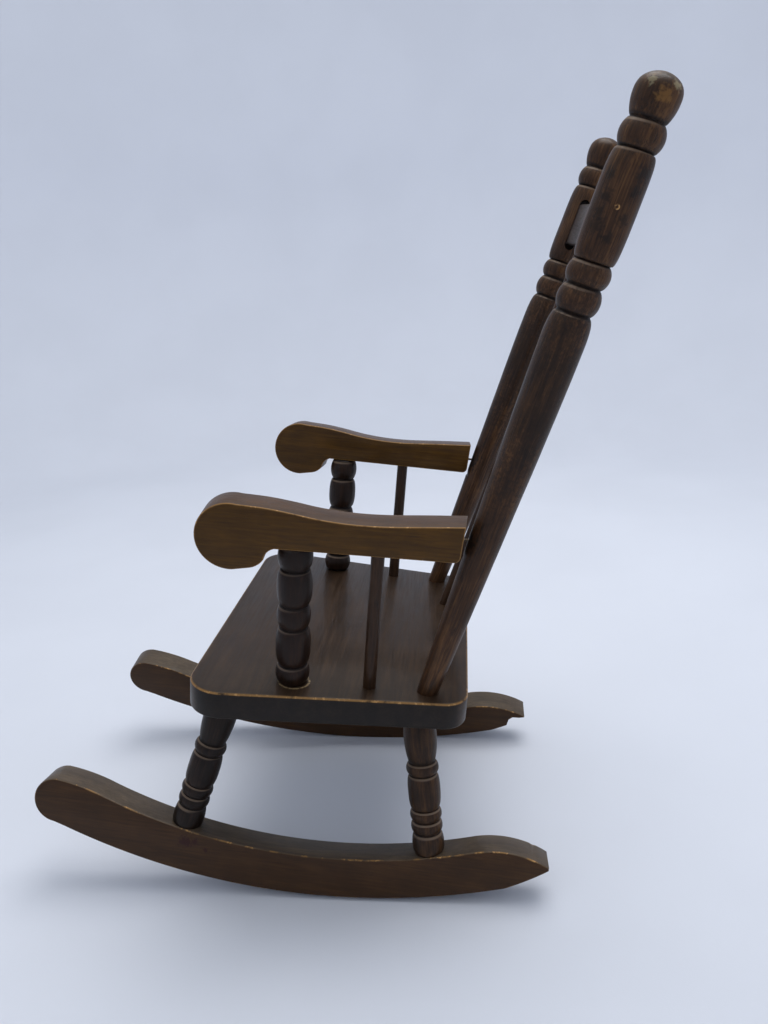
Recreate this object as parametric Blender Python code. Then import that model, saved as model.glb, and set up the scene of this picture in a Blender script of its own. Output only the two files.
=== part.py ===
"""A doll-size wooden rocking chair, built as the separate pieces a maker would glue together.

Seat axes, in which every piece is laid out: +X to the sitter's left, +Y to the rear, +Z up, with
z = 0 on the seat board's top face and y = 0 through the two arm posts. The whole chair hangs on one
empty, which rocks it back until its weight stands over the flat it rests on.
"""

import math

import bmesh
import bpy
from mathutils import Matrix, Vector

MM = 0.001
GAP = 0.3 * MM                      # clearance between pieces that touch

# Seat board
SEAT_THICKNESS = 14.0 * MM
SEAT_FRONT_Y = -49.2 * MM
SEAT_REAR_Y = 85.6 * MM
SEAT_FRONT_HALF_WIDTH = 96.8 * MM
SEAT_REAR_HALF_WIDTH = 81.3 * MM
SEAT_FRONT_CORNER = 17.0 * MM
SEAT_REAR_CORNER = 13.0 * MM

# Rockers: boards with a round underside, in line with the splayed legs, so they lean out below
ROCKER_THICKNESS = 16.6 * MM
ROCKER_LEAN = math.radians(8.5)
ROCKER_TOP_Z = -92.0 * MM               # the height of the axis that the lean turns about
ROCKER_REAR_TIP_Y = 134.8 * MM
ROCKER_REAR_SPREAD = {"left": 75.2 * MM, "right": 73.0 * MM}    # to the top's centre line
ROCKER_TOE_IN = {"left": math.radians(1.45), "right": math.radians(0.55)}
ROCKER_FORWARD = {"left": 0.0, "right": 2.2 * MM}       # slid forward along the floor
RUNNER_RADIUS = 360.0 * MM
RUNNER_CENTRE_Y = -1.5 * MM
RUNNER_LOWEST_Z = -120.4 * MM
RUNNER_FLAT = 12.0 * MM                 # length of one facet of the runner
RUNNER_WEAR = 0.4 * MM                  # depth of the flat worn along the runner's inner corner

# Legs: where the axis leaves the seat, (y, half spread, z), and where it meets the rocker, (y, z)
LEG_TOPS = {"front": (-34.5 * MM, 60.5 * MM, -14.0 * MM), "rear": (61.5 * MM, 60.5 * MM, -14.0 * MM)}
LEG_FEET = {"front": (-53.8 * MM, -91.6 * MM), "rear": (74.0 * MM, -88.0 * MM)}
LEG_RING_RISE = {"front": 1.2 * MM, "rear": 0.0 * MM}
LEG_TOP_RADIUS = 5.0 * MM
LEG_TENON_RADIUS = 4.0 * MM

# Armrests: boards on edge with a round scroll in front, closer together at the rear
ARM_THICKNESS = 15.0 * MM
ARM_BOTTOM_Z = 73.0 * MM
ARM_REAR_Y = {"left": 76.0 * MM, "right": 78.6 * MM}
ARM_END_SKEW = 0.10                     # the rear end is cut askew: its inner side is longer
ARM_HALF_SPREAD = 82.6 * MM             # from the middle to the board's centre line, at the arm post
ARM_TOE_IN = math.radians(3.2)
ARM_LEAN = math.radians(4.0)            # the boards lean out with the arm posts
SCROLL_RADIUS = 16.0 * MM
SCROLL_CENTRE = (-28.3 * MM, 77.4 * MM)

# Arm posts and arm spindles lean out to meet the arms
ARM_POST_BASE = 75.4 * MM
ARM_POST_TOP = 80.5 * MM
ARM_POST_TENON_RADIUS = 3.5 * MM
ARM_SPINDLE_Y = 37.5 * MM
ARM_SPINDLE_BASE = 73.4 * MM
ARM_SPINDLE_TOP = 78.0 * MM
DOWEL_RADIUS = 3.175 * MM

# Back posts: the two were drilled at slightly different angles
BACK_POST_Y = 65.8 * MM
BACK_POST_BASE = 72.0 * MM
BACK_POST_SPLAY = math.radians(2.5)
BACK_POST_LEAN = {"left": math.radians(13.5), "right": math.radians(15.2)}
BACK_POST_FOOT_RADIUS = 5.05 * MM
SOCKET_DEPTH = 7.0 * MM

# Crest rail and back spindles stand on a curve that bows to the rear
CREST_HEIGHT = 22.0 * MM
CREST_THICKNESS = 5.0 * MM
CREST_ON_POST = 230.8 * MM              # along the post, from the seat to the rail's middle
CREST_BOW = 9.0 * MM
CREST_SET = -2.2 * MM                   # the bow starts this far behind the line between the posts
CREST_TENON = 4.0 * MM
MORTISE_LENGTH = 28.0 * MM
BACK_SPINDLE_PITCH = 36.0 * MM
SPINDLE_ROW_BOW = 8.0 * MM
BRAD_RADIUS = 0.6 * MM

# The chair at rest
REST_TILT = math.radians(6.7)
ORIGIN_Y = 11.9 * MM                    # from the flat it rests on to the middle of its length
SEGMENTS = 20

SIDES = {"left": 1.0, "right": -1.0}


# ---------------------------------------------------------------- helpers

def clear_scene():
    for item in list(bpy.data.objects):
        bpy.data.objects.remove(item, do_unlink=True)


def make_material(name, colour, roughness, metallic=0.0):
    material = bpy.data.materials.new(name)
    material.use_nodes = True
    shader = material.node_tree.nodes["Principled BSDF"]
    shader.inputs["Base Color"].default_value = (*colour, 1.0)
    shader.inputs["Roughness"].default_value = roughness
    shader.inputs["Metallic"].default_value = metallic
    return material


def make_object(name, mesh, material, parent):
    item = bpy.data.objects.new(name, mesh)
    bpy.context.scene.collection.objects.link(item)
    item.parent = parent
    if material is not None:
        mesh.materials.append(material)
    return item


def mesh_from(name, shape):
    """Turn a bmesh into a mesh with outward normals."""
    bmesh.ops.recalc_face_normals(shape, faces=shape.faces)
    mesh = bpy.data.meshes.new(name)
    shape.to_mesh(mesh)
    shape.free()
    return mesh


def prism(name, outline, low, high, plane="YZ"):
    """Extrude a closed outline: YZ outlines run along X, XY outlines run along Z."""
    shape = bmesh.new()
    corners = []
    for first, second in outline:
        place = (low, first, second) if plane == "YZ" else (first, second, low)
        corners.append(shape.verts.new(place))
    face = shape.faces.new(corners)
    pushed = bmesh.ops.extrude_face_region(shape, geom=[face])
    moved = [part for part in pushed["geom"] if isinstance(part, bmesh.types.BMVert)]
    travel = Vector((high - low, 0, 0)) if plane == "YZ" else Vector((0, 0, high - low))
    bmesh.ops.translate(shape, verts=moved, vec=travel)
    return mesh_from(name, shape)


def turned(name, profile, segments=SEGMENTS):
    """Spin a profile of (radius, height) points, listed from bottom to top, about Z."""
    shape = bmesh.new()
    rail = [shape.verts.new((0, 0, profile[0][1]))]
    rail += [shape.verts.new((radius, 0, height)) for radius, height in profile]
    rail.append(shape.verts.new((0, 0, profile[-1][1])))
    edges = [shape.edges.new(pair) for pair in zip(rail, rail[1:])]
    bmesh.ops.spin(shape, geom=rail + edges, cent=(0, 0, 0), axis=(0, 0, 1),
                   angle=2 * math.pi, steps=segments, use_merge=True)
    bmesh.ops.remove_doubles(shape, verts=shape.verts, dist=1e-6)
    mesh = mesh_from(name, shape)
    mesh.shade_smooth()
    mesh.set_sharp_from_angle(angle=math.radians(40))
    return mesh


def cylinder(name, radius, low, high, segments=SEGMENTS):
    return turned(name, [(radius, low), (radius, high)], segments)


def along(start, end):
    """A matrix that puts a piece's own +Z on the line from start to end."""
    direction = (end - start).normalized()
    turn = direction.to_track_quat("Z", "Y").to_matrix().to_4x4()
    return Matrix.Translation(start) @ turn


def upright_frame(start, end):
    """Like along(), but the piece's +X stays level and points to the sitter's left."""
    rise = (end - start).normalized()
    level = Vector((1, 0, 0))
    level = (level - rise * level.dot(rise)).normalized()
    depth = rise.cross(level)
    turn = Matrix((level, depth, rise)).transposed().to_4x4()
    return Matrix.Translation(start) @ turn


def point(y, half_spread, z, side):
    return Vector((SIDES[side] * half_spread, y, z))


def boolean(item, tool, operation="DIFFERENCE"):
    step = item.modifiers.new(tool.name, "BOOLEAN")
    step.operation = operation
    step.solver = "EXACT"
    step.object = tool


def make_tool(name, mesh, parent, matrix=None):
    """A hidden body that cuts or joins another one."""
    tool = make_object(name, mesh, None, parent)
    if matrix is not None:
        tool.matrix_local = matrix
    tool.hide_render = True
    tool.display_type = "WIRE"
    return tool


def cut_hole(item, name, radius, start, end, parent, segments=SEGMENTS):
    """Drill a hole from start to end into a piece."""
    mesh = cylinder(name, radius, 0.0, (end - start).length, segments)
    boolean(item, make_tool(name, mesh, parent, along(start, end)))


def soften(item, width, segments=2):
    """Round a board's long edges."""
    bevel = item.modifiers.new("worn_edges", "BEVEL")
    bevel.width = width
    bevel.segments = segments
    bevel.limit_method = "ANGLE"
    bevel.angle_limit = math.radians(50)


def arc(start, middle, end, steps):
    """Points on the circle through three points, from start up to but not including end."""
    (ax, ay), (bx, by), (cx, cy) = start, middle, end
    twice_area = 2 * (ax * (by - cy) + bx * (cy - ay) + cx * (ay - by))
    a2, b2, c2 = ax * ax + ay * ay, bx * bx + by * by, cx * cx + cy * cy
    ux = (a2 * (by - cy) + b2 * (cy - ay) + c2 * (ay - by)) / twice_area
    uy = (a2 * (cx - bx) + b2 * (ax - cx) + c2 * (bx - ax)) / twice_area
    radius = math.hypot(ax - ux, ay - uy)
    first = math.atan2(ay - uy, ax - ux)
    half = math.remainder(math.atan2(by - uy, bx - ux) - first, 2 * math.pi)
    sweep = half + math.remainder(math.atan2(cy - uy, cx - ux) - first - half, 2 * math.pi)
    angles = [first + sweep * step / steps for step in range(steps)]
    return [(ux + radius * math.cos(angle), uy + radius * math.sin(angle)) for angle in angles]


def swell(low, high, neck, crown, fullness=2.0, steps=5, top_neck=None):
    """A turned bead or barrel: 2 gives a round bead, more gives flatter sides and squarer ends."""
    top_neck = neck if top_neck is None else top_neck
    points = []
    for step in range(steps + 1):
        t = (1 - math.cos(math.pi * step / steps)) / 2
        height = (1 - abs(2 * t - 1) ** fullness) ** (1.5 / fullness)
        base = neck + (top_neck - neck) * t
        points.append((base + (crown - base) * height, low + (high - low) * t))
    return points


# ---------------------------------------------------------------- seat

def seat_outline():
    """The tapered board's outline, with round corners."""
    corners = [(SEAT_FRONT_HALF_WIDTH, SEAT_FRONT_Y), (SEAT_REAR_HALF_WIDTH, SEAT_REAR_Y),
               (-SEAT_REAR_HALF_WIDTH, SEAT_REAR_Y), (-SEAT_FRONT_HALF_WIDTH, SEAT_FRONT_Y)]
    radii = [SEAT_FRONT_CORNER, SEAT_REAR_CORNER, SEAT_REAR_CORNER, SEAT_FRONT_CORNER]
    points = []
    for index, corner in enumerate(corners):
        here = Vector(corner)
        before = (Vector(corners[index - 1]) - here).normalized()
        after = (Vector(corners[(index + 1) % 4]) - here).normalized()
        half_angle = before.angle(after) / 2
        radius = radii[index]
        centre = here + (before + after).normalized() * radius / math.sin(half_angle)
        reach = radius / math.tan(half_angle)
        first = here + before * reach - centre
        last = here + after * reach - centre
        start = math.atan2(first.y, first.x)
        sweep = math.remainder(math.atan2(last.y, last.x) - start, 2 * math.pi)
        for step in range(7):
            angle = start + sweep * step / 6
            points.append((centre.x + radius * math.cos(angle),
                           centre.y + radius * math.sin(angle)))
    return points


def build_seat(material, chair):
    mesh = prism("seat_board", seat_outline(), -SEAT_THICKNESS, 0.0, plane="XY")
    seat = make_object("seat_board", mesh, material, chair)
    soften(seat, 1.0 * MM)
    return seat


# ---------------------------------------------------------------- rockers

def runner_height(y):
    """Height of the round underside at a distance y from the front to the rear."""
    offset = y - RUNNER_CENTRE_Y
    return RUNNER_LOWEST_Z + RUNNER_RADIUS - math.sqrt(RUNNER_RADIUS ** 2 - offset ** 2)


def runner_points(y_front, y_rear):
    """The underside as short flats, one of which runs level when the chair is at rest."""
    step = RUNNER_FLAT / RUNNER_RADIUS
    first = math.asin((y_front - RUNNER_CENTRE_Y) / RUNNER_RADIUS)
    last = math.asin((y_rear - RUNNER_CENTRE_Y) / RUNNER_RADIUS)
    index_low = math.ceil((first - REST_TILT) / step - 0.5)
    index_high = math.floor((last - REST_TILT) / step - 0.5)
    points = []
    for index in range(index_low, index_high + 1):
        angle = REST_TILT + (index + 0.5) * step
        y = RUNNER_CENTRE_Y + RUNNER_RADIUS * math.sin(angle)
        points.append((y, runner_height(y)))
    return points


def rocker_outline(lift=0.0):
    """Outline from the nose, along the underside, round the rear tip and back over the top."""
    mm = MM
    top_front = (-96.0 * mm, -81.6 * mm)
    top_rear = (98.0 * mm, -83.7 * mm)
    tip_top = (134.8 * mm, -87.0 * mm)
    tip_under = (134.8 * mm, -88.6 * mm)
    heel = (114.0 * mm, runner_height(114.0 * mm))
    chin = (-124.0 * mm, runner_height(-124.0 * mm) - 1.0 * mm)
    crown = (-123.5 * mm, -75.0 * mm)
    points = runner_points(-118.0 * mm, 112.0 * mm)
    points += arc(heel, (126.0 * mm, -94.6 * mm), tip_under, 3)
    points += [tip_under]
    points += arc(tip_top, (116.5 * mm, -81.9 * mm), top_rear, 5)
    points += arc(top_rear, (2.0 * mm, -98.8 * mm), top_front, 12)
    points += arc(top_front, (-110.0 * mm, -77.2 * mm), crown, 4)
    points += arc(crown, (-135.0 * mm, -88.2 * mm), chin, 8)
    points += [chin]
    return [(y, z + lift) for y, z in points]


def rocker_centre(side, y):
    """Half spread of the centre line of a rocker's top, at a distance y from front to rear."""
    return ROCKER_REAR_SPREAD[side] - (ROCKER_REAR_TIP_Y - y) * math.tan(ROCKER_TOE_IN[side])


def rocker_matrix(side):
    """Places a rocker: it leans about its top's centre line and is toed in about its rear tip."""
    outward = SIDES[side]
    pivot = Vector((0, ROCKER_REAR_TIP_Y, ROCKER_TOP_Z))
    forward = Vector((0, -math.cos(REST_TILT), -math.sin(REST_TILT))) * ROCKER_FORWARD[side]
    place = Vector((outward * ROCKER_REAR_SPREAD[side], ROCKER_REAR_TIP_Y, ROCKER_TOP_Z)) + forward
    toe = Matrix.Rotation(-outward * ROCKER_TOE_IN[side], 4, "Z")
    lean = Matrix.Rotation(-outward * ROCKER_LEAN, 4, "Y")
    return Matrix.Translation(place) @ toe @ lean @ Matrix.Translation(-pivot)


def build_rocker(side, material, chair):
    """A rocker, with the flat that wear leaves where it stands on the floor."""
    name = f"rocker_{side}"
    half = ROCKER_THICKNESS / 2
    rocker = make_object(name, prism(name, rocker_outline(), -half, half), material, chair)
    rocker.matrix_local = rocker_matrix(side)
    reach = 250 * MM
    square = [(-reach, -reach), (reach, -reach), (reach, reach), (-reach, reach)]
    floor_mesh = prism(f"{name}_wear", square, -20 * MM, 0.0, plane="XY")
    boolean(rocker, make_tool(f"{name}_wear", floor_mesh, chair, rest_matrix().inverted()))
    return rocker


# ---------------------------------------------------------------- legs

def leg_profile(length, rise):
    """Foot, two rings, barrel, ring and egg, measured up from the rocker."""
    mm = MM
    points = swell(-3.5 * mm, 8.5 * mm + rise, 5.6 * mm, 8.2 * mm, 2.4, 6, top_neck=6.7 * mm)
    points += swell(8.7 * mm + rise, 15.0 * mm + rise, 6.7 * mm, 8.15 * mm, 2.0, 4)
    points += swell(15.2 * mm + rise, 21.3 * mm + rise, 6.7 * mm, 8.25 * mm, 2.0, 4)
    points += swell(21.5 * mm + rise, 39.5 * mm + rise, 6.8 * mm, 8.3 * mm, 2.9, 6)
    points += swell(39.7 * mm + rise, 46.1 * mm + rise, 6.7 * mm, 8.3 * mm, 2.0, 4)
    points += swell(46.3 * mm + rise, length - 4.0 * mm, 6.6 * mm, 8.5 * mm, 2.0, 7,
                    top_neck=5.4 * mm)
    points.append((LEG_TOP_RADIUS, length - 1.0 * mm))
    points.append((LEG_TOP_RADIUS, length + SOCKET_DEPTH - 0.6 * mm))
    return points


def build_leg(which, side, seat, rocker, material, chair):
    name = f"leg_{which}_{side}"
    foot_y, foot_z = LEG_FEET[which]
    top = point(*LEG_TOPS[which], side)
    foot = point(foot_y, rocker_centre(side, foot_y), foot_z, side)
    up = (top - foot).normalized()
    profile = leg_profile((top - foot).length, LEG_RING_RISE[which])
    leg = make_object(name, turned(name, profile), material, chair)
    leg.matrix_local = along(foot, top)

    trim_mesh = prism(f"{name}_trim", rocker_outline(lift=GAP), -24 * MM, 24 * MM)
    boolean(leg, make_tool(f"{name}_trim", trim_mesh, chair, rocker_matrix(side)))
    depth = 9.0 * MM
    tenon_mesh = cylinder(f"{name}_tenon", LEG_TENON_RADIUS, -depth, 6.0 * MM)
    boolean(leg, make_tool(f"{name}_tenon", tenon_mesh, chair, along(foot, top)), "UNION")

    cut_hole(rocker, f"{name}_mortise", LEG_TENON_RADIUS + GAP, foot - up * (depth + GAP),
             foot + up * 6 * MM, chair)
    cut_hole(seat, f"{name}_socket", LEG_TOP_RADIUS + GAP, top - up * 6 * MM,
             top + up * SOCKET_DEPTH, chair)
    return leg


# ---------------------------------------------------------------- arms

def smooth_run(knots, steps):
    """Points on a smooth curve through knots, which it includes."""
    points = []
    padded = [knots[0]] + knots + [knots[-1]]
    for a, b, c, d in zip(padded, padded[1:], padded[2:], padded[3:]):
        for step in range(steps):
            t = step / steps
            place = []
            for axis in (0, 1):
                slope_b = (c[axis] - a[axis]) / 2
                slope_c = (d[axis] - b[axis]) / 2
                place.append(b[axis] * (2 * t ** 3 - 3 * t ** 2 + 1)
                             + slope_b * (t ** 3 - 2 * t ** 2 + t)
                             + c[axis] * (3 * t ** 2 - 2 * t ** 3) + slope_c * (t ** 3 - t ** 2))
            points.append(tuple(place))
    points.append(knots[-1])
    return points


def arm_outline(side):
    """Scroll, curved top, square rear end, flat underside and the notch behind the scroll."""
    mm = MM
    centre_y, centre_z = SCROLL_CENTRE
    scroll_top = (centre_y + 3.0 * mm, centre_z + 15.7 * mm)
    scroll_bottom = (centre_y + 1.0 * mm, centre_z - SCROLL_RADIUS)
    front = (centre_y - SCROLL_RADIUS, centre_z)
    rear = ARM_REAR_Y[side]
    points = arc((-8.4 * mm, ARM_BOTTOM_Z), (-11.2 * mm, 71.4 * mm), (-13.2 * mm, 67.2 * mm), 3)
    points += arc((-13.2 * mm, 67.2 * mm), (-16.3 * mm, 64.1 * mm), (-21.0 * mm, 62.7 * mm), 3)
    points += arc(scroll_bottom, front, scroll_top, 12)
    top = [scroll_top, (-13.0 * mm, 92.4 * mm), (-1.5 * mm, 90.9 * mm), (11.0 * mm, 88.9 * mm),
           (25.0 * mm, 87.8 * mm), (40.0 * mm, 87.9 * mm), (58.0 * mm, 89.2 * mm),
           (rear, 90.5 * mm)]
    points += smooth_run(top, 2)
    points += arc((rear - 0.9 * mm, 75.8 * mm), (rear - 1.6 * mm, 74.0 * mm),
                  (rear - 3.6 * mm, ARM_BOTTOM_Z), 4)
    points.append((rear - 3.6 * mm, ARM_BOTTOM_Z))
    return points


def arm_matrix(side):
    outward = SIDES[side]
    place = Matrix.Translation((outward * ARM_HALF_SPREAD, 0, ARM_BOTTOM_Z))
    toe = Matrix.Rotation(outward * ARM_TOE_IN, 4, "Z")
    lean = Matrix.Rotation(outward * ARM_LEAN, 4, "Y")
    return place @ toe @ lean @ Matrix.Translation((0, 0, -ARM_BOTTOM_Z))


def skew_end(mesh, side):
    """Cuts the arm's rear end askew, and anything made to match it."""
    for corner in mesh.vertices:
        if corner.co.y > 65 * MM:
            corner.co.y -= SIDES[side] * corner.co.x * ARM_END_SKEW
    return mesh


def build_armrest(side, material, chair):
    half = ARM_THICKNESS / 2
    name = f"armrest_{side}"
    mesh = skew_end(prism(name, arm_outline(side), -half, half), side)
    arm = make_object(name, mesh, material, chair)
    arm.matrix_local = arm_matrix(side)
    soften(arm, 0.8 * MM, 1)
    return arm


def arm_post_profile(length):
    mm = MM
    points = swell(0.0, 10.5 * mm, 6.3 * mm, 8.2 * mm, 2.1, 5)
    points += swell(10.7 * mm, 30.3 * mm, 6.5 * mm, 8.35 * mm, 2.6, 6)
    points += swell(30.5 * mm, 42.3 * mm, 6.4 * mm, 8.1 * mm, 2.0, 5)
    points += swell(42.5 * mm, 60.7 * mm, 6.4 * mm, 8.35 * mm, 2.6, 6)
    points += swell(60.9 * mm, length, 6.4 * mm, 8.2 * mm, 2.0, 5)
    return points


def build_arm_post(side, seat, arm, material, chair):
    """Turned post between the seat and the arm, with a round tenon at each end."""
    name = f"arm_post_{side}"
    base = point(0.0, ARM_POST_BASE, 0.0, side)
    top = point(0.0, ARM_POST_TOP, ARM_BOTTOM_Z, side)
    length = (top - base).length
    up = (top - base).normalized()
    post = make_object(name, turned(name, arm_post_profile(length)), material, chair)
    post.matrix_local = along(base, top)
    reach = 20 * MM
    square = [(-reach, -reach), (reach, -reach), (reach, reach), (-reach, reach)]
    floor_mesh = prism(f"{name}_foot_trim", square, -reach, GAP, plane="XY")
    roof_mesh = prism(f"{name}_head_trim", square, -GAP, reach, plane="XY")
    boolean(post, make_tool(f"{name}_foot_trim", floor_mesh, chair, Matrix.Translation(base)))
    boolean(post, make_tool(f"{name}_head_trim", roof_mesh, chair, Matrix.Translation(top)))
    tenon = 6.5 * MM
    tenon_mesh = cylinder(f"{name}_tenon", ARM_POST_TENON_RADIUS, -tenon, length + tenon)
    boolean(post, make_tool(f"{name}_tenon", tenon_mesh, chair, along(base, top)), "UNION")
    cut_hole(seat, f"{name}_socket", ARM_POST_TENON_RADIUS + GAP, base - up * (tenon + GAP),
             base + up * 5 * MM, chair)
    cut_hole(arm, f"{name}_mortise", ARM_POST_TENON_RADIUS + GAP, top - up * 4 * MM,
             top + up * (tenon + GAP), chair)
    return post


def build_dowel(name, base, top, depth_low, depth_high, below, above, material, chair):
    """Plain dowel let into a hole in the piece below it and the piece above it."""
    up = (top - base).normalized()
    length = (top - base).length
    mesh = cylinder(name, DOWEL_RADIUS, -depth_low, length + depth_high)
    dowel = make_object(name, mesh, material, chair)
    dowel.matrix_local = along(base, top)
    hole = DOWEL_RADIUS + GAP
    cut_hole(below, f"{name}_socket", hole, base - up * (depth_low + GAP), base + up * 5 * MM, chair)
    cut_hole(above, f"{name}_mortise", hole, top - up * 5 * MM, top + up * (depth_high + GAP), chair)
    return dowel


# ---------------------------------------------------------------- back

def back_post_axis(side):
    """Foot of the back post on the seat, and its direction."""
    base = point(BACK_POST_Y, BACK_POST_BASE, 0.0, side)
    lean = math.tan(BACK_POST_LEAN[side])
    splay = SIDES[side] * math.tan(BACK_POST_SPLAY)
    return base, Vector((splay, lean, 1.0)).normalized()


def back_post_profile():
    """Long tapered shaft, two beads, barrel, bead and ball."""
    mm = MM
    points = [(BACK_POST_FOOT_RADIUS - 0.1 * mm, -SOCKET_DEPTH + GAP), (BACK_POST_FOOT_RADIUS, 0.0)]
    points += [(6.3 * mm, 40.0 * mm), (7.7 * mm, 92.0 * mm), (8.95 * mm, 142.0 * mm)]
    points += [(9.4 * mm, 173.0 * mm), (9.2 * mm, 182.0 * mm), (8.4 * mm, 186.7 * mm)]
    points += swell(188.9 * mm, 199.7 * mm, 7.0 * mm, 9.15 * mm, 2.0, 5)
    points += swell(199.9 * mm, 209.4 * mm, 7.0 * mm, 9.15 * mm, 2.0, 5)
    points += swell(209.6 * mm, 251.7 * mm, 7.2 * mm, 9.25 * mm, 4.4, 7, top_neck=6.9 * mm)
    points += swell(251.9 * mm, 262.5 * mm, 6.9 * mm, 9.15 * mm, 2.0, 5)
    points += swell(262.8 * mm, 279.6 * mm, 6.9 * mm, 9.3 * mm, 2.2, 8, top_neck=1.0 * mm)
    return points


def crest_frame():
    """The rail's own axes: X from the right post to the left, Z up along the lean."""
    ends = {}
    for side in SIDES:
        base, up = back_post_axis(side)
        ends[side] = base + up * CREST_ON_POST
    rise = (back_post_axis("left")[1] + back_post_axis("right")[1]).normalized()
    across = (ends["left"] - ends["right"]).normalized()
    rise = (rise - across * rise.dot(across)).normalized()
    depth = rise.cross(across)
    middle = (ends["left"] + ends["right"]) / 2
    turn = Matrix((across, depth, rise)).transposed().to_4x4()
    return Matrix.Translation(middle) @ turn, (ends["left"] - ends["right"]).length


def bow(across, half_span, depth):
    """How far a curve that bows to the rear stands behind the line between its ends."""
    return depth * (1.0 - (across / half_span) ** 2)


def crest_bow(across, half_span):
    """How far the rail's middle plane stands behind the line between the posts."""
    straight_end = half_span - 9.0 * MM
    return CREST_SET + bow(min(abs(across), straight_end), half_span, CREST_BOW)


def build_crest_rail(material, chair):
    """Flat slat, bent to the rear, with its ends let into the posts."""
    matrix, span = crest_frame()
    half = span / 2 - 8.6 * MM + CREST_TENON
    steps = 18
    shape = bmesh.new()
    rows = []
    for step in range(steps + 1):
        x = -half + 2 * half * step / steps
        y = crest_bow(x, span / 2)
        row = []
        for side_y in (-CREST_THICKNESS / 2, CREST_THICKNESS / 2):
            for z in (-CREST_HEIGHT / 2, CREST_HEIGHT / 2):
                row.append(shape.verts.new((x, y + side_y, z)))
        rows.append([row[0], row[1], row[3], row[2]])
    for row, following in zip(rows, rows[1:]):
        for index in range(4):
            after = (index + 1) % 4
            shape.faces.new((row[index], row[after], following[after], following[index]))
    shape.faces.new(rows[0])
    shape.faces.new(reversed(rows[-1]))
    rail = make_object("crest_rail", mesh_from("crest_rail", shape), material, chair)
    rail.matrix_local = matrix
    soften(rail, 0.9 * MM, 1)
    return rail


def build_back_post(side, seat, arm, material, chair):
    name = f"back_post_{side}"
    base, up = back_post_axis(side)
    frame = upright_frame(base, base + up)
    post = make_object(name, turned(name, back_post_profile(), 24), material, chair)
    post.matrix_local = frame
    cut_hole(seat, f"{name}_socket", BACK_POST_FOOT_RADIUS + GAP, base - up * SOCKET_DEPTH,
             base + up * 6 * MM, chair)

    # Nick that clears the lower corner of the arm's rear end
    half = ARM_THICKNESS / 2 + GAP
    reach = ARM_REAR_Y[side] + GAP
    nick = [(reach - 10 * MM, 71 * MM), (reach, 71 * MM), (reach, 92 * MM), (reach - 10 * MM, 92 * MM)]
    nick_mesh = skew_end(prism(f"{name}_nick", nick, -half, half), side)
    boolean(post, make_tool(f"{name}_nick", nick_mesh, chair, arm_matrix(side)))

    # Round-ended mortise for the crest rail, cut into the barrel's inner side
    radius = CREST_THICKNESS / 2 + 2 * GAP
    straight = MORTISE_LENGTH / 2 - radius
    slot = []
    for centre, start in ((straight, 0.0), (-straight, math.pi)):
        for step in range(9):
            angle = start + math.pi * step / 8
            slot.append((radius * math.cos(angle), centre + radius * math.sin(angle)))
    inward = -SIDES[side]
    depth = 8.6 * MM - CREST_TENON - 0.6 * MM
    slot_mesh = prism(f"{name}_mortise", slot, min(inward * depth, inward * 16 * MM),
                      max(inward * depth, inward * 16 * MM))
    rail_frame, span = crest_frame()
    half_span = span / 2
    slot_place = (-inward * half_span, crest_bow(half_span, half_span), 0)
    slot_frame = rail_frame @ Matrix.Translation(slot_place)
    boolean(post, make_tool(f"{name}_mortise", slot_mesh, chair, slot_frame))
    return post


def build_brad(side, post, rail, material, chair):
    """Thin brad through the barrel and the rail's end."""
    name = f"crest_brad_{side}"
    matrix, span = crest_frame()
    outward = SIDES[side]
    half_span = span / 2
    depth = crest_bow(half_span, half_span)
    start = matrix @ Vector((outward * (half_span - 8.0 * MM), depth, 0))
    end = matrix @ Vector((outward * (half_span + 8.6 * MM), depth, 0))
    brad = make_object(name, cylinder(name, BRAD_RADIUS, 0, (end - start).length, 8), material, chair)
    brad.matrix_local = along(start, end)
    line = (end - start).normalized()
    for host in (post, rail):
        cut_hole(host, f"{name}_in_{host.name}", BRAD_RADIUS + GAP, start - line * GAP,
                 end + line * 4 * MM, chair, 8)
    return brad


def build_arm_nail(side, post, arm, material, chair):
    """Nail driven from behind the back post into the arm's rear end."""
    name = f"arm_nail_{side}"
    height = 81.0 * MM
    base, up = back_post_axis(side)
    behind = base + up * (height / up.z)
    forward = arm_matrix(side) @ Vector((0, ARM_REAR_Y[side] - 11 * MM, height))
    line = (forward - behind).normalized()
    start = behind - line * 6.2 * MM
    nail = make_object(name, cylinder(name, BRAD_RADIUS, 0, (forward - start).length, 8),
                       material, chair)
    nail.matrix_local = along(start, forward)
    for host in (post, arm):
        cut_hole(host, f"{name}_in_{host.name}", BRAD_RADIUS + GAP, start - line * 6 * MM,
                 forward + line * GAP, chair, 8)
    return nail


def build_back_spindles(seat, rail, material, chair):
    """Three dowels from the seat to the crest rail, on the same rearward curve."""
    matrix, span = crest_frame()
    names = ("back_spindle_right", "back_spindle_middle", "back_spindle_left")
    for index, name in enumerate(names):
        across = (index - 1) * BACK_SPINDLE_PITCH
        base = Vector((across, BACK_POST_Y + bow(across, BACK_POST_BASE, SPINDLE_ROW_BOW), 0))
        x = across * span / 2 / BACK_POST_BASE
        top = matrix @ Vector((x, crest_bow(x, span / 2), -CREST_HEIGHT / 2))
        build_spindle(name, base, top, seat, rail, material, chair)


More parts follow.
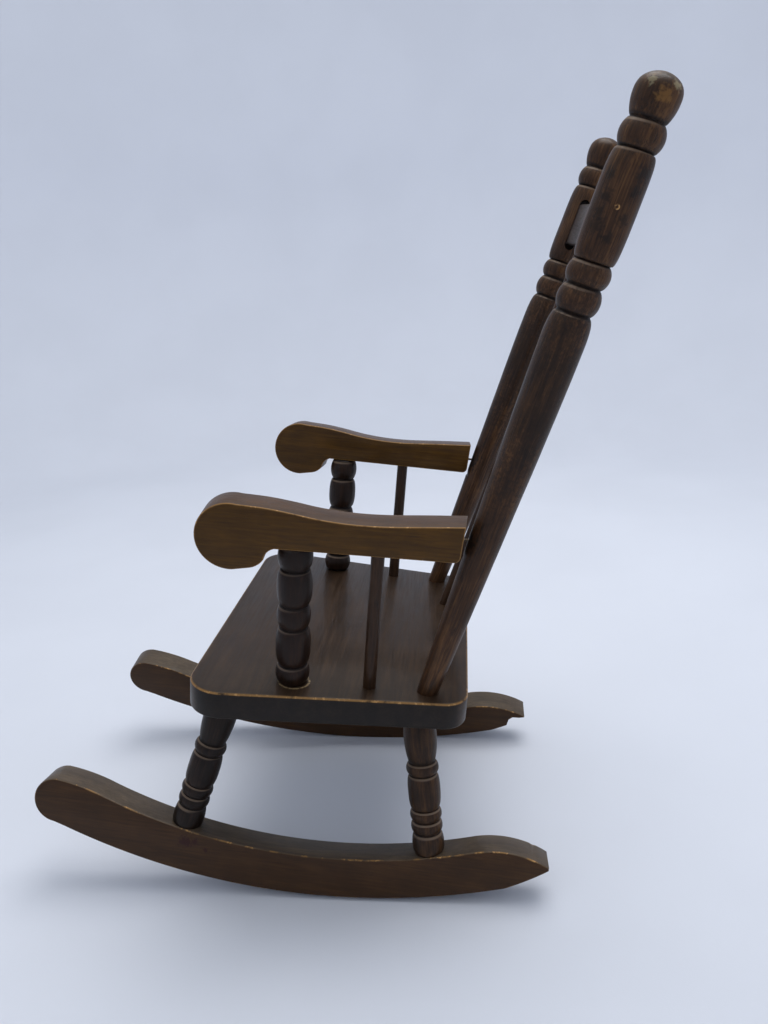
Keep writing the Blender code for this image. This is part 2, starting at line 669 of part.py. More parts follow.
def build_spindle(name, base, top, seat, rail, material, chair):
    """Back spindle: a dowel whose upper end is thinned to fit the slat."""
    up = (top - base).normalized()
    length = (top - base).length
    thin = 1.6 * MM
    profile = [(DOWEL_RADIUS, -6.0 * MM), (DOWEL_RADIUS, length - 1.2 * MM)]
    profile += [(thin, length - 0.6 * MM), (thin, length + 6.0 * MM)]
    spindle = make_object(name, turned(name, profile, 16), material, chair)
    spindle.matrix_local = along(base, top)
    cut_hole(seat, f"{name}_socket", DOWEL_RADIUS + GAP, base - up * 6.3 * MM,
             base + up * 5 * MM, chair)
    cut_hole(rail, f"{name}_mortise", thin + GAP, top - up * 4 * MM, top + up * 6.3 * MM, chair, 12)
    return spindle


# ---------------------------------------------------------------- assembly

def rest_matrix():
    """Rocks the chair back by the rest tilt and stands its runners on z = 0."""
    turn = Matrix.Rotation(-REST_TILT, 4, "X")
    centre = turn @ Vector((0, RUNNER_CENTRE_Y, RUNNER_LOWEST_Z + RUNNER_RADIUS))
    flat_depth = RUNNER_RADIUS * math.cos(RUNNER_FLAT / RUNNER_RADIUS / 2)
    depth = (ROCKER_TOP_Z - RUNNER_LOWEST_Z) * (1 - math.cos(ROCKER_LEAN))
    corner_drop = ROCKER_THICKNESS / 2 * math.sin(ROCKER_LEAN) - depth
    rise = flat_depth + corner_drop - RUNNER_WEAR - centre.z
    return Matrix.Translation((0, ORIGIN_Y - centre.y, rise)) @ turn


def main():
    clear_scene()
    chair = bpy.data.objects.new("chair", None)
    bpy.context.scene.collection.objects.link(chair)
    chair.matrix_local = rest_matrix()

    stained = make_material("walnut_stain", (0.075, 0.040, 0.022), 0.42)
    amber = make_material("amber_stain", (0.120, 0.062, 0.022), 0.40)
    dark = make_material("dark_stain", (0.050, 0.030, 0.020), 0.45)
    steel = make_material("brad_steel", (0.20, 0.19, 0.18), 0.45, 1.0)

    seat = build_seat(stained, chair)
    rail = build_crest_rail(dark, chair)
    for side in SIDES:
        rocker = build_rocker(side, stained, chair)
        for which in ("front", "rear"):
            build_leg(which, side, seat, rocker, dark, chair)
        arm = build_armrest(side, amber, chair)
        build_arm_post(side, seat, arm, dark, chair)
        base = point(ARM_SPINDLE_Y, ARM_SPINDLE_BASE, 0.0, side)
        top = point(ARM_SPINDLE_Y, ARM_SPINDLE_TOP, ARM_BOTTOM_Z, side)
        build_dowel(f"arm_spindle_{side}", base, top, 6 * MM, 7 * MM, seat, arm, dark, chair)
        post = build_back_post(side, seat, arm, dark, chair)
        build_brad(side, post, rail, steel, chair)
        build_arm_nail(side, post, arm, steel, chair)
    build_back_spindles(seat, rail, dark, chair)


main()
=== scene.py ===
"""A doll-size rocking chair in dark stained wood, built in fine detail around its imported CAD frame.

Pieces are laid out in seat axes, like the CAD: +X to the sitter's left, +Y to the rear, +Z up, with
z = 0 on the seat's top face and y = 0 through the arm posts. One matrix then rocks them to rest.
"""

import math

import bmesh
import bpy
from mathutils import Matrix, Vector, noise


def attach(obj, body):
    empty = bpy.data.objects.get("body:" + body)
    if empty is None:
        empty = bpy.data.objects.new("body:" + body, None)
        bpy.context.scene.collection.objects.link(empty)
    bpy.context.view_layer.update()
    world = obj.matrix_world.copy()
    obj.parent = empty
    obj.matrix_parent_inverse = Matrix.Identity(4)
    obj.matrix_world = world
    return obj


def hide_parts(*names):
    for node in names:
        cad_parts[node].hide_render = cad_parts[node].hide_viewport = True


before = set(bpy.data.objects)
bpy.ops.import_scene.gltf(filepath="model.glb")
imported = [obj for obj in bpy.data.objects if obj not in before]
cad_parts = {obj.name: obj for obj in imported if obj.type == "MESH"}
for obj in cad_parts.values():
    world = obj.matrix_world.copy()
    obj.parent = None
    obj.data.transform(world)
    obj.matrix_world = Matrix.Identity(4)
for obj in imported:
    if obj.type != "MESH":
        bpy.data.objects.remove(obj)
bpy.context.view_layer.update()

MM = 0.001
SIDES = {"left": 1.0, "right": -1.0}

# Seat board
SEAT_THICKNESS = 14.0 * MM
SEAT_FRONT_Y = -49.2 * MM
SEAT_REAR_Y = 85.6 * MM
SEAT_FRONT_HALF_WIDTH = 96.8 * MM
SEAT_REAR_HALF_WIDTH = 81.3 * MM
SEAT_FRONT_CORNER = 17.0 * MM
SEAT_REAR_CORNER = 13.0 * MM
SEAT_RIM = 1.1 * MM                     # each RIM is how far a board's edges are rounded

# Rockers, which lean out below in line with the splayed legs
ROCKER_THICKNESS = 16.6 * MM
ROCKER_LEAN = math.radians(8.5)
ROCKER_TOP_Z = -92.0 * MM
ROCKER_REAR_TIP_Y = 134.8 * MM
ROCKER_REAR_SPREAD = {"left": 75.2 * MM, "right": 73.0 * MM}
ROCKER_TOE_IN = {"left": math.radians(1.45), "right": math.radians(0.55)}
ROCKER_FORWARD = {"left": 0.0, "right": 2.2 * MM}       # slid forward along the floor
RUNNER_RADIUS = 360.0 * MM
RUNNER_CENTRE_Y = -1.5 * MM
RUNNER_LOWEST_Z = -120.4 * MM
RUNNER_FLAT = 12.0 * MM                 # the CAD's runners are a row of flats this long
RUNNER_WEAR = 0.4 * MM                  # depth of the flat worn along the runner's inner corner
ROCKER_RIM = 0.8 * MM

# Legs: where the axis leaves the seat, (y, half spread, z), and where it meets the rocker, (y, z)
LEG_TOPS = {"front": (-34.5 * MM, 60.5 * MM, -14.0 * MM), "rear": (61.5 * MM, 60.5 * MM, -14.0 * MM)}
LEG_FEET = {"front": (-53.8 * MM, -91.6 * MM), "rear": (74.0 * MM, -88.0 * MM)}
LEG_RING_RISE = {"front": 1.2 * MM, "rear": 0.0 * MM}

# Arms, which lean out with their posts and are closer together at the rear
ARM_THICKNESS = 15.0 * MM
ARM_BOTTOM_Z = 73.0 * MM
ARM_REAR_Y = {"left": 76.0 * MM, "right": 78.6 * MM}
ARM_END_SKEW = 0.10                     # the rear end is cut askew: its inner side is longer
ARM_HALF_SPREAD = 82.6 * MM
ARM_TOE_IN = math.radians(3.2)
ARM_LEAN = math.radians(4.0)
SCROLL_RADIUS = 16.0 * MM
SCROLL_CENTRE = (-28.3 * MM, 77.4 * MM)
ARM_RIM = 0.7 * MM
ARM_POST_BASE = 75.4 * MM
ARM_POST_TOP = 80.5 * MM
ARM_SPINDLE_Y = 37.5 * MM
ARM_SPINDLE_BASE = 73.4 * MM
ARM_SPINDLE_TOP = 78.0 * MM
DOWEL_RADIUS = 3.175 * MM
DOWEL_IN_HOLE = 3.0 * MM

# Back: the two posts lean at slightly different angles
BACK_POST_Y = 65.8 * MM
BACK_POST_BASE = 72.0 * MM
BACK_POST_SPLAY = math.radians(2.5)
BACK_POST_LEAN = {"left": math.radians(13.5), "right": math.radians(15.2)}
CREST_HEIGHT = 22.0 * MM
CREST_THICKNESS = 5.0 * MM
CREST_ON_POST = 230.8 * MM
CREST_BOW = 9.0 * MM
CREST_SET = -2.2 * MM                   # the bow starts in front of the line between the posts
MORTISE_LENGTH = 28.0 * MM
MORTISE_EASE = 0.2 * MM
MORTISE_REACH = (3.8 * MM, 16.0 * MM)   # inward from the post's axis
NOTCH_SIDE_GAP = 0.1 * MM               # how far the post is kept clear of its arm's end
NOTCH_END_GAP = 0.02 * MM
BACK_SPINDLE_PITCH = 36.0 * MM
SPINDLE_ROW_BOW = 8.0 * MM

# The chair at rest
REST_TILT = math.radians(6.7)
ORIGIN_Y = 11.9 * MM                    # from the flat it rests on to the middle of its length

ROUND_STEPS = 64
SHARP_ANGLE = math.radians(38)


# ---------------------------------------------------------------- places

def rest_matrix():
    """Rocks the chair back by the rest tilt and stands its runners on z = 0."""
    turn = Matrix.Rotation(-REST_TILT, 4, "X")
    centre = turn @ Vector((0, RUNNER_CENTRE_Y, RUNNER_LOWEST_Z + RUNNER_RADIUS))
    flat_depth = RUNNER_RADIUS * math.cos(RUNNER_FLAT / RUNNER_RADIUS / 2)
    depth = (ROCKER_TOP_Z - RUNNER_LOWEST_Z) * (1 - math.cos(ROCKER_LEAN))
    corner_drop = ROCKER_THICKNESS / 2 * math.sin(ROCKER_LEAN) - depth
    rise = flat_depth + corner_drop - RUNNER_WEAR - centre.z
    return Matrix.Translation((0, ORIGIN_Y - centre.y, rise)) @ turn


REST = rest_matrix()


def point(y, half_spread, z, side):
    return Vector((SIDES[side] * half_spread, y, z))


def upright_frame(start, end):
    """Puts a piece's +Z on the line from start to end, with its +X level, to the sitter's left."""
    rise = (end - start).normalized()
    level = Vector((1, 0, 0))
    level = (level - rise * level.dot(rise)).normalized()
    depth = rise.cross(level)
    turn = Matrix((level, depth, rise)).transposed().to_4x4()
    return Matrix.Translation(start) @ turn


def arm_matrix(side):
    outward = SIDES[side]
    place = Matrix.Translation((outward * ARM_HALF_SPREAD, 0, ARM_BOTTOM_Z))
    toe = Matrix.Rotation(outward * ARM_TOE_IN, 4, "Z")
    lean = Matrix.Rotation(outward * ARM_LEAN, 4, "Y")
    return place @ toe @ lean @ Matrix.Translation((0, 0, -ARM_BOTTOM_Z))


def rocker_centre(side, y):
    return ROCKER_REAR_SPREAD[side] - (ROCKER_REAR_TIP_Y - y) * math.tan(ROCKER_TOE_IN[side])


def rocker_matrix(side):
    outward = SIDES[side]
    pivot = Vector((0, ROCKER_REAR_TIP_Y, ROCKER_TOP_Z))
    forward = Vector((0, -math.cos(REST_TILT), -math.sin(REST_TILT))) * ROCKER_FORWARD[side]
    place = Vector((outward * ROCKER_REAR_SPREAD[side], ROCKER_REAR_TIP_Y, ROCKER_TOP_Z)) + forward
    toe = Matrix.Rotation(-outward * ROCKER_TOE_IN[side], 4, "Z")
    lean = Matrix.Rotation(-outward * ROCKER_LEAN, 4, "Y")
    return Matrix.Translation(place) @ toe @ lean @ Matrix.Translation(-pivot)


def back_post_axis(side):
    base = point(BACK_POST_Y, BACK_POST_BASE, 0.0, side)
    lean = math.tan(BACK_POST_LEAN[side])
    splay = SIDES[side] * math.tan(BACK_POST_SPLAY)
    return base, Vector((splay, lean, 1.0)).normalized()


def crest_frame():
    """The rail's own axes, and the distance between the posts' axes at its height."""
    ends = {}
    for side in SIDES:
        base, up = back_post_axis(side)
        ends[side] = base + up * CREST_ON_POST
    rise = (back_post_axis("left")[1] + back_post_axis("right")[1]).normalized()
    across = (ends["left"] - ends["right"]).normalized()
    rise = (rise - across * rise.dot(across)).normalized()
    depth = rise.cross(across)
    turn = Matrix((across, depth, rise)).transposed().to_4x4()
    middle = (ends["left"] + ends["right"]) / 2
    return Matrix.Translation(middle) @ turn, (ends["left"] - ends["right"]).length


CREST_PLACE, CREST_SPAN = crest_frame()


def bow(across, half_span, depth):
    return depth * (1.0 - (across / half_span) ** 2)


def crest_bow(across):
    """How far the rail's middle plane stands behind the line between the posts."""
    straight_end = CREST_SPAN / 2 - 9.0 * MM
    return CREST_SET + bow(min(abs(across), straight_end), CREST_SPAN / 2, CREST_BOW)


# ---------------------------------------------------------------- mesh helpers

def mark_vertices(mesh, rules):
    """Stores each vertex's place in the piece's own millimetres, and what each rule makes of it."""
    places = [corner.co / MM for corner in mesh.vertices]
    own = mesh.attributes.new("own", "FLOAT_VECTOR", "POINT")
    own.data.foreach_set("vector", [value for place in places for value in place])
    for name, rule in rules.items():
        mark = mesh.attributes.new(name, "FLOAT", "POINT")
        mark.data.foreach_set("value", [rule(place) for place in places])


def finish_piece(name, mesh, place, material, node, rules=None):
    """Puts a mesh in place as a finished piece that stands for a CAD node.

    Nothing reaches under the floor, so the rockers' undersides are worn flat there.
    """
    mark_vertices(mesh, rules or {})
    mesh.transform(REST @ place)
    for corner in mesh.vertices:
        corner.co.z = max(corner.co.z, 0.0)
    piece = bpy.data.objects.new(name, mesh)
    bpy.context.scene.collection.objects.link(piece)
    mesh.materials.clear()
    mesh.materials.append(material)
    mesh.shade_smooth()
    mesh.set_sharp_from_angle(angle=SHARP_ANGLE)
    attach(piece, "root")
    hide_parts(node)
    return piece


def mesh_from(name, shape):
    bmesh.ops.recalc_face_normals(shape, faces=shape.faces)
    mesh = bpy.data.meshes.new(name)
    shape.to_mesh(mesh)
    shape.free()
    return mesh


def spin_mesh(name, profile, segments=ROUND_STEPS, wobble=0.0, seed=0.0):
    """Spin (radius, height) points about Z; wobble makes the turning a little untrue."""
    shape = bmesh.new()
    rings = []
    for radius, height in profile:
        ring = []
        for step in range(segments):
            angle = 2 * math.pi * step / segments
            place = Vector((radius * math.cos(angle), radius * math.sin(angle), height))
            if wobble:
                drift = noise.noise(Vector((place.x * 90, place.y * 90, height * 60 + seed)))
                place.x *= 1 + wobble * drift
                place.y *= 1 + wobble * drift
            ring.append(shape.verts.new(place))
        rings.append(ring)
    for ring, following in zip(rings, rings[1:]):
        for step in range(segments):
            after = (step + 1) % segments
            shape.faces.new((ring[step], ring[after], following[after], following[step]))
    shape.faces.new(list(reversed(rings[0])))
    shape.faces.new(rings[-1])
    return mesh_from(name, shape)


def prism_mesh(name, outline, low, high, plane="YZ", bevel=0.0):
    """Extrudes an outline and rounds its rims. YZ outlines run along X, XY outlines along Z.

    The bevel needs faces that look outwards, or it leaves hollow stretches of rim sharp.
    """
    shape = bmesh.new()
    sheets = []
    for level in (low, high):
        sheets.append([shape.verts.new((level, a, b) if plane == "YZ" else (a, b, level))
                       for a, b in outline])
    count = len(outline)
    for index in range(count):
        after = (index + 1) % count
        shape.faces.new((sheets[0][index], sheets[0][after], sheets[1][after], sheets[1][index]))
    caps = [shape.faces.new(sheets[0]), shape.faces.new(sheets[1])]
    if bevel:
        bmesh.ops.recalc_face_normals(shape, faces=shape.faces)
        rims = {edge for cap in caps for edge in cap.edges}
        bmesh.ops.bevel(shape, geom=list(rims), offset=bevel, segments=4,
                        profile=0.5, affect="EDGES", clamp_overlap=True)
    return mesh_from(name, shape)


def carve(mesh, cutters):
    """Cut closed meshes, each with its matrix in the piece's own axes, out of a mesh."""
    host = bpy.data.objects.new("carve_host", mesh)
    bpy.context.scene.collection.objects.link(host)
    tools = []
    for cutter, matrix in cutters:
        tool = bpy.data.objects.new("carve_tool", cutter)
        bpy.context.scene.collection.objects.link(tool)
        tool.matrix_world = matrix
        step = host.modifiers.new("carve", "BOOLEAN")
        step.operation = "DIFFERENCE"
        step.solver = "EXACT"
        step.object = tool
        tools.append(tool)
    bpy.context.view_layer.update()
    graph = bpy.context.evaluated_depsgraph_get()
    result = bpy.data.meshes.new_from_object(host.evaluated_get(graph))
    result.name = mesh.name
    for item in tools + [host]:
        bpy.data.objects.remove(item, do_unlink=True)
    return result


def arc(start, middle, end, steps):
    """Points on the circle through three points, from start up to but not including end."""
    (ax, ay), (bx, by), (cx, cy) = start, middle, end
    twice_area = 2 * (ax * (by - cy) + bx * (cy - ay) + cx * (ay - by))
    a2, b2, c2 = ax * ax + ay * ay, bx * bx + by * by, cx * cx + cy * cy
    ux = (a2 * (by - cy) + b2 * (cy - ay) + c2 * (ay - by)) / twice_area
    uy = (a2 * (cx - bx) + b2 * (ax - cx) + c2 * (bx - ax)) / twice_area
    radius = math.hypot(ax - ux, ay - uy)
    first = math.atan2(ay - uy, ax - ux)
    half = math.remainder(math.atan2(by - uy, bx - ux) - first, 2 * math.pi)
    sweep = half + math.remainder(math.atan2(cy - uy, cx - ux) - first - half, 2 * math.pi)
    angles = [first + sweep * step / steps for step in range(steps)]
    return [(ux + radius * math.cos(angle), uy + radius * math.sin(angle)) for angle in angles]


def swell(low, high, neck, crown, fullness=2.0, steps=12, top_neck=None):
    """A turned bead or barrel: 2 gives a round bead, more gives flatter sides and squarer ends."""
    top_neck = neck if top_neck is None else top_neck
    points = []
    for step in range(steps + 1):
        t = (1 - math.cos(math.pi * step / steps)) / 2
        height = (1 - abs(2 * t - 1) ** fullness) ** (1.5 / fullness)
        base = neck + (top_neck - neck) * t
        points.append((base + (crown - base) * height, low + (high - low) * t))
    return points


def smooth_run(knots, steps):
    """Points on a smooth curve through (radius, height) knots, by Catmull-Rom steps."""
    points = []
    padded = [knots[0]] + knots + [knots[-1]]
    for a, b, c, d in zip(padded, padded[1:], padded[2:], padded[3:]):
        for step in range(steps):
            t = step / steps
            place = []
            for axis in (0, 1):
                slope_b = (c[axis] - a[axis]) / 2
                slope_c = (d[axis] - b[axis]) / 2
                place.append(b[axis] * (2 * t ** 3 - 3 * t ** 2 + 1)
                             + slope_b * (t ** 3 - 2 * t ** 2 + t)
                             + c[axis] * (-2 * t ** 3 + 3 * t ** 2) + slope_c * (t ** 3 - t ** 2))
            points.append(tuple(place))
    points.append(knots[-1])
    return points


# ---------------------------------------------------------------- materials

def srgb(red, green, blue):
    """A colour given as 0-255 screen values, as the linear values that shaders use."""
    linear = [value / 255 / 12.92 if value < 11 else ((value / 255 + 0.055) / 1.055) ** 2.4
              for value in (red, green, blue)]
    return (*linear, 1.0)


class Recipe:
    """One material's nodes, added one after the other. Each method returns a node's output."""

    def __init__(self, name, constants):
        self.material = bpy.data.materials.new(name)
        self.material.use_nodes = True
        self.tree = self.material.node_tree
        self.shader = self.tree.nodes["Principled BSDF"]
        for key, value in constants.items():
            self.shader.inputs[key].default_value = value

    def plug(self, value, socket):
        if isinstance(value, bpy.types.NodeSocket):
            self.tree.links.new(value, socket)
        else:
            socket.default_value = value

    def add(self, kind, inputs, output=0, **settings):
        node = self.tree.nodes.new(kind)
        for key, value in settings.items():
            setattr(node, key, value)
        for key, value in inputs.items():
            self.plug(value, node.inputs[key])
        return node.outputs[output]

    def math(self, operation, first, second=0.0):
        return self.add("ShaderNodeMath", {0: first, 1: second}, operation=operation)

    def mark(self, name, output="Fac"):
        """A value stored on the mesh's vertices."""
        return self.add("ShaderNodeAttribute", {}, output, attribute_name=name)

    def noise(self, place, scale, detail=3.0, roughness=0.5, distortion=0.0):
        return self.add("ShaderNodeTexNoise", {"Vector": place, "Scale": scale, "Detail": detail,
                                               "Roughness": roughness, "Distortion": distortion})

    def window(self, value, low, high, least=0.0, most=1.0):
        """Rises smoothly from least to most while the value goes from low to high."""
        return self.add("ShaderNodeMapRange", {0: value, 1: low, 2: high, 3: least, 4: most},
                        interpolation_type="SMOOTHSTEP")

    def blend(self, factor, first, second):
        return self.add("ShaderNodeMix", {0: factor, 6: first, 7: second}, 2, data_type="RGBA")

    def ramp(self, value, colours):
        node = self.tree.nodes.new("ShaderNodeValToRGB")
        stops = node.color_ramp.elements
        while len(stops) < len(colours):
            stops.new(0.5)
        for index, colour in enumerate(colours):
            stops[index].position = index / (len(colours) - 1)
            stops[index].color = colour
        self.plug(value, node.inputs[0])
        return node.outputs[0]

    def stretched(self, place, scale, shift=(0.0, 0.0, 0.0), turn=(0.0, 0.0, 0.0)):
        return self.add("ShaderNodeMapping", {"Vector": place, "Location": shift, "Rotation": turn,
                                              "Scale": scale})

    def distance(self, place, centre):
        return self.add("ShaderNodeVectorMath", {0: place, 1: centre}, "Value",
                        operation="DISTANCE")

    def finish(self, colour, roughness, height, depth):
        """Connects the surface; depth is the bump's height in millimetres."""
        self.plug(colour, self.shader.inputs["Base Color"])
        self.plug(roughness, self.shader.inputs["Roughness"])
        normal = self.add("ShaderNodeBump", {"Strength": 0.8, "Distance": depth * MM,
                                             "Height": height})
        self.plug(normal, self.shader.inputs["Normal"])
        return self.material


# Stain tones, each from the darkest streaks to the lightest
SEAT_TONES = (srgb(33, 23, 16), srgb(47, 34, 24), srgb(62, 46, 33))
END_GRAIN_TONES = (srgb(17, 12, 9), srgb(25, 18, 13), srgb(36, 27, 19))
# Rocker and arm tones come in pairs: the first colours the tops and rims with a painted grey sheen,
# the side tones are the stain alone
ROCKER_TONES_WITH_SHEEN = (srgb(58, 49, 41), srgb(78, 67, 56), srgb(98, 84, 68))
ROCKER_SIDE_TONES = (srgb(42, 26, 11), srgb(58, 37, 18), srgb(75, 50, 25))
ARM_TONES_WITH_SHEEN = (srgb(56, 39, 26), srgb(72, 52, 37), srgb(90, 66, 47))
ARM_SIDE_TONES = (srgb(52, 31, 4), srgb(70, 45, 6), srgb(88, 58, 13))
TURNED_TONES = (srgb(17, 9, 5), srgb(30, 17, 10), srgb(52, 32, 19))
LEG_TONES = {"front": (srgb(14, 8, 5), srgb(27, 17, 11), srgb(46, 31, 21)),
             "rear": (srgb(26, 16, 9), srgb(48, 31, 18), srgb(74, 50, 28))}
DOWEL_TONES = (srgb(34, 21, 12), srgb(52, 34, 21), srgb(70, 48, 30))
POST_TONES = (srgb(32, 18, 9), srgb(62, 40, 23), srgb(98, 67, 39))
# The crest rail's dark brown stain, greyed by a painted sheen
RAIL_TONES_WITH_SHEEN = (srgb(48, 40, 37), srgb(63, 55, 52), srgb(78, 69, 64))
# Fills the pores and darkens the turned grooves; also painted shade on the back posts beside the
# arms' ends
GRIME_AND_SHADE = srgb(20, 16, 15)
# Bare wood at chips and breaks; also a painted highlight round the left crest brad
BARE_WOOD_AND_HIGHLIGHT = srgb(186, 142, 88)
GLUE = srgb(150, 128, 96)
RED_STAIN = srgb(44, 16, 16)
WORN_STAIN = srgb(146, 108, 60)
# Painted highlight on the shoulders of turned beads that face up
SHOULDER_HIGHLIGHT = srgb(136, 116, 98)
SMUDGE = srgb(24, 17, 13)
RUBBED_STAIN = srgb(124, 88, 44)
# Painted highlight, for spots on the back post's ball
PAINTED_HIGHLIGHT = srgb(176, 166, 130)
STEEL_TONES = (srgb(44, 36, 29), srgb(72, 62, 52), srgb(104, 94, 82))
PAPER_SHADE = srgb(210, 214, 224)
PAPER_LIGHT = srgb(213, 217, 227)


def stain_tone(recipe, own, axis, shift, contrast):
    """How light the stain is, 0 to 1, and the streaks and pores that run along the grain."""
    along_grain = [1.0, 1.0, 1.0]
    along_grain[axis] = 0.10
    grain = recipe.stretched(own, along_grain, shift)
    along_grain[axis] = 0.045
    fibres = recipe.stretched(own, along_grain, shift)
    figure = recipe.noise(grain, 0.18, 4.0, 0.55, 0.6)
    streaks = recipe.noise(fibres, 0.95, 3.0, 0.6)
    pores = recipe.noise(fibres, 2.4, 2.0, 0.5)
    cloud = recipe.noise(recipe.stretched(own, (1.0, 1.0, 1.0), shift), 0.055, 4.0, 0.6)
    tone = recipe.math("ADD", recipe.math("MULTIPLY", figure, 0.36),
                       recipe.math("MULTIPLY", streaks, 0.38))
    tone = recipe.math("ADD", tone, recipe.math("MULTIPLY", cloud, 0.26))
    return recipe.window(tone, 0.5 - 0.16 / contrast, 0.5 + 0.16 / contrast), streaks, pores


def turned_marks(recipe, colour, normal, groove, fine, groove_darkness):
    """Darkens the turned grooves, and paints a pale highlight on the shoulders that face up just
    below them.
    """
    # Darker towards the bottom of the turned grooves
    groove_darkening = recipe.math("MULTIPLY", recipe.window(groove, 0.35, 0.95, 0.0, groove_darkness),
                       recipe.window(fine, 0.25, 0.6, 0.55, 1.0))
    colour = recipe.blend(groove_darkening, colour, GRIME_AND_SHADE)
    # Painted highlight: shoulders that face up, just below a groove, are lightened
    upward = recipe.add("ShaderNodeSeparateXYZ", {0: normal}, "Z")
    shoulder_highlight = recipe.math("MULTIPLY", recipe.window(upward, 0.25, 0.6),
                           recipe.window(groove, 0.04, 0.3))
    shoulder_highlight = recipe.math("MULTIPLY", shoulder_highlight, recipe.window(groove, 0.95, 0.6, 0.0, 0.5))
    return recipe.blend(shoulder_highlight, colour, SHOULDER_HIGHLIGHT)


def rim_marks(recipe, colour, patchy, fine, wear):
    """Rims worn pale in stretches, with a few chips down to bare wood."""
    edge = recipe.mark("edge")
    rubbed = recipe.window(patchy, 0.62 - 0.32 * wear, 0.70 - 0.22 * wear, 0.1, 0.95)
    colour = recipe.blend(recipe.math("MULTIPLY", edge, rubbed), colour, WORN_STAIN)
    chipped = recipe.math("MULTIPLY", edge, recipe.window(fine, 0.56, 0.62))
    chipped = recipe.math("MULTIPLY", chipped, recipe.window(patchy, 0.48, 0.56))
    return recipe.blend(chipped, colour, BARE_WOOD_AND_HIGHLIGHT)


def spot_marks(recipe, colour, own, fine, blots, rings):
    """Ragged blots and broken rings at given places on the piece."""
    for centre, reach, blot, strength in blots:
        spread = recipe.math("ADD", recipe.distance(own, centre),
                             recipe.window(fine, 0.3, 0.7, -0.5 * reach, 0.5 * reach))
        inside = recipe.window(spread, reach * 1.3, reach * 0.3, 0.0, strength)
        colour = recipe.blend(inside, colour, blot)
    for centre, radius, half_width, ring_colour in rings:
        off = recipe.math("ABSOLUTE", recipe.math("SUBTRACT", recipe.distance(own, centre), radius))
        ring = recipe.math("MULTIPLY", recipe.window(off, half_width, half_width * 0.3),
                           recipe.window(fine, 0.36, 0.56, 0.1, 0.9))
        colour = recipe.blend(ring, colour, ring_colour)
    return colour


def stained_wood(name, seed, axis, tones, side_tones=None, wear=0.4, pores=0.5, gloss=0.12,
                 contrast=1.0, groove_darkness=0.9, blots=(), rings=()):
    """Stained wood with its grain along one of the piece's own axes.

    Side tones colour the faces that look to the chair's left or right. Blots are
    (centre, reach, colour, strength) and rings (centre, radius, half width, colour), in the
    piece's own millimetres.
    """
    recipe = Recipe(name, {"Specular IOR Level": 0.14, "Coat Weight": gloss, "Coat Roughness": 0.12})
    own = recipe.mark("own", "Vector")
    shift = (seed * 37.1, seed * 17.3, seed * 53.9)
    tone, streaks, pore_field = stain_tone(recipe, own, axis, shift, contrast)
    colour = recipe.ramp(tone, tones)
    normal = recipe.add("ShaderNodeNewGeometry", {}, "Normal")
    # On the arms and rockers the main tones carry a painted grey sheen and the side tones are the
    # stain alone; on the seat the side tones are its end grain
    if side_tones:
        sideways = recipe.add("ShaderNodeSeparateXYZ", {0: normal})
        side = recipe.window(recipe.math("ABSOLUTE", sideways), 0.62, 0.86)
        colour = recipe.blend(side, colour, recipe.ramp(tone, side_tones))
    pore = recipe.window(pore_field, 0.44, 0.33, 0.0, pores)
    colour = recipe.blend(pore, colour, GRIME_AND_SHADE)

    fine = recipe.noise(own, 0.55, 3.0, 0.6)
    patchy = recipe.noise(recipe.stretched(own, (1.0, 1.0, 1.0), shift), 0.13, 4.0, 0.65)
    groove = recipe.mark("groove")
    colour = turned_marks(recipe, colour, normal, groove, fine, groove_darkness)
    colour = rim_marks(recipe, colour, patchy, fine, wear)
    colour = spot_marks(recipe, colour, own, fine, blots, rings)

    roughness = recipe.window(recipe.math("ADD", streaks, recipe.math("MULTIPLY", groove, 0.5)),
                              0.3, 0.9, 0.38, 0.6)
    height = recipe.math("ADD", recipe.math("MULTIPLY", pore, -0.8),
                         recipe.math("MULTIPLY", streaks, 0.35))
    height = recipe.math("ADD", height, recipe.math("MULTIPLY", patchy, 0.5))
    return recipe.finish(colour, roughness, height, 0.10)


def brad_steel():
    recipe = Recipe("brad_steel", {"Metallic": 1.0})
    place = recipe.add("ShaderNodeTexCoord", {}, "Object")
    spots = recipe.noise(place, 2200.0, 3.0, 0.6)
    colour = recipe.ramp(recipe.window(spots, 0.35, 0.65), STEEL_TONES)
    roughness = recipe.window(spots, 0.3, 0.7, 0.55, 0.35)
    return recipe.finish(colour, roughness, spots, 0.02)


def pale_paper():
    recipe = Recipe("pale_paper", {"Specular IOR Level": 0.2})
    place = recipe.add("ShaderNodeTexCoord", {}, "Object")
    fibres = recipe.noise(place, 900.0, 3.0, 0.6)
    mottle = recipe.noise(place, 6.0, 3.0, 0.5)
    colour = recipe.ramp(recipe.window(mottle, 0.3, 0.7), (PAPER_SHADE, PAPER_LIGHT))
    return recipe.finish(colour, recipe.window(fibres, 0.2, 0.8, 0.75, 0.9), fibres, 0.05)


def smooth(value, low, high):
    t = min(max((value - low) / (high - low), 0.0), 1.0)
    return t * t * (3 - 2 * t)


def rim_rule(axis, faces, bevel):
    """1 in the middle of the rounded rims beside the faces at these heights, 0 elsewhere."""
    def rule(place):
        depth = min(abs(place[axis] - face) for face in faces) / (bevel / MM)
        return max(0.0, 4 * depth * (1 - depth)) if depth < 1 else 0.0
    return rule


def groove_rule(crown, neck, lowest=-1000.0, highest=1000.0):
    """1 at the bottom of turned grooves between two heights, 0 at the crowns."""
    def rule(place):
        if not lowest < place.z < highest:
            return 0.0
        return 1.0 - smooth(math.hypot(place.x, place.y), neck, crown)
    return rule


# ---------------------------------------------------------------- seat

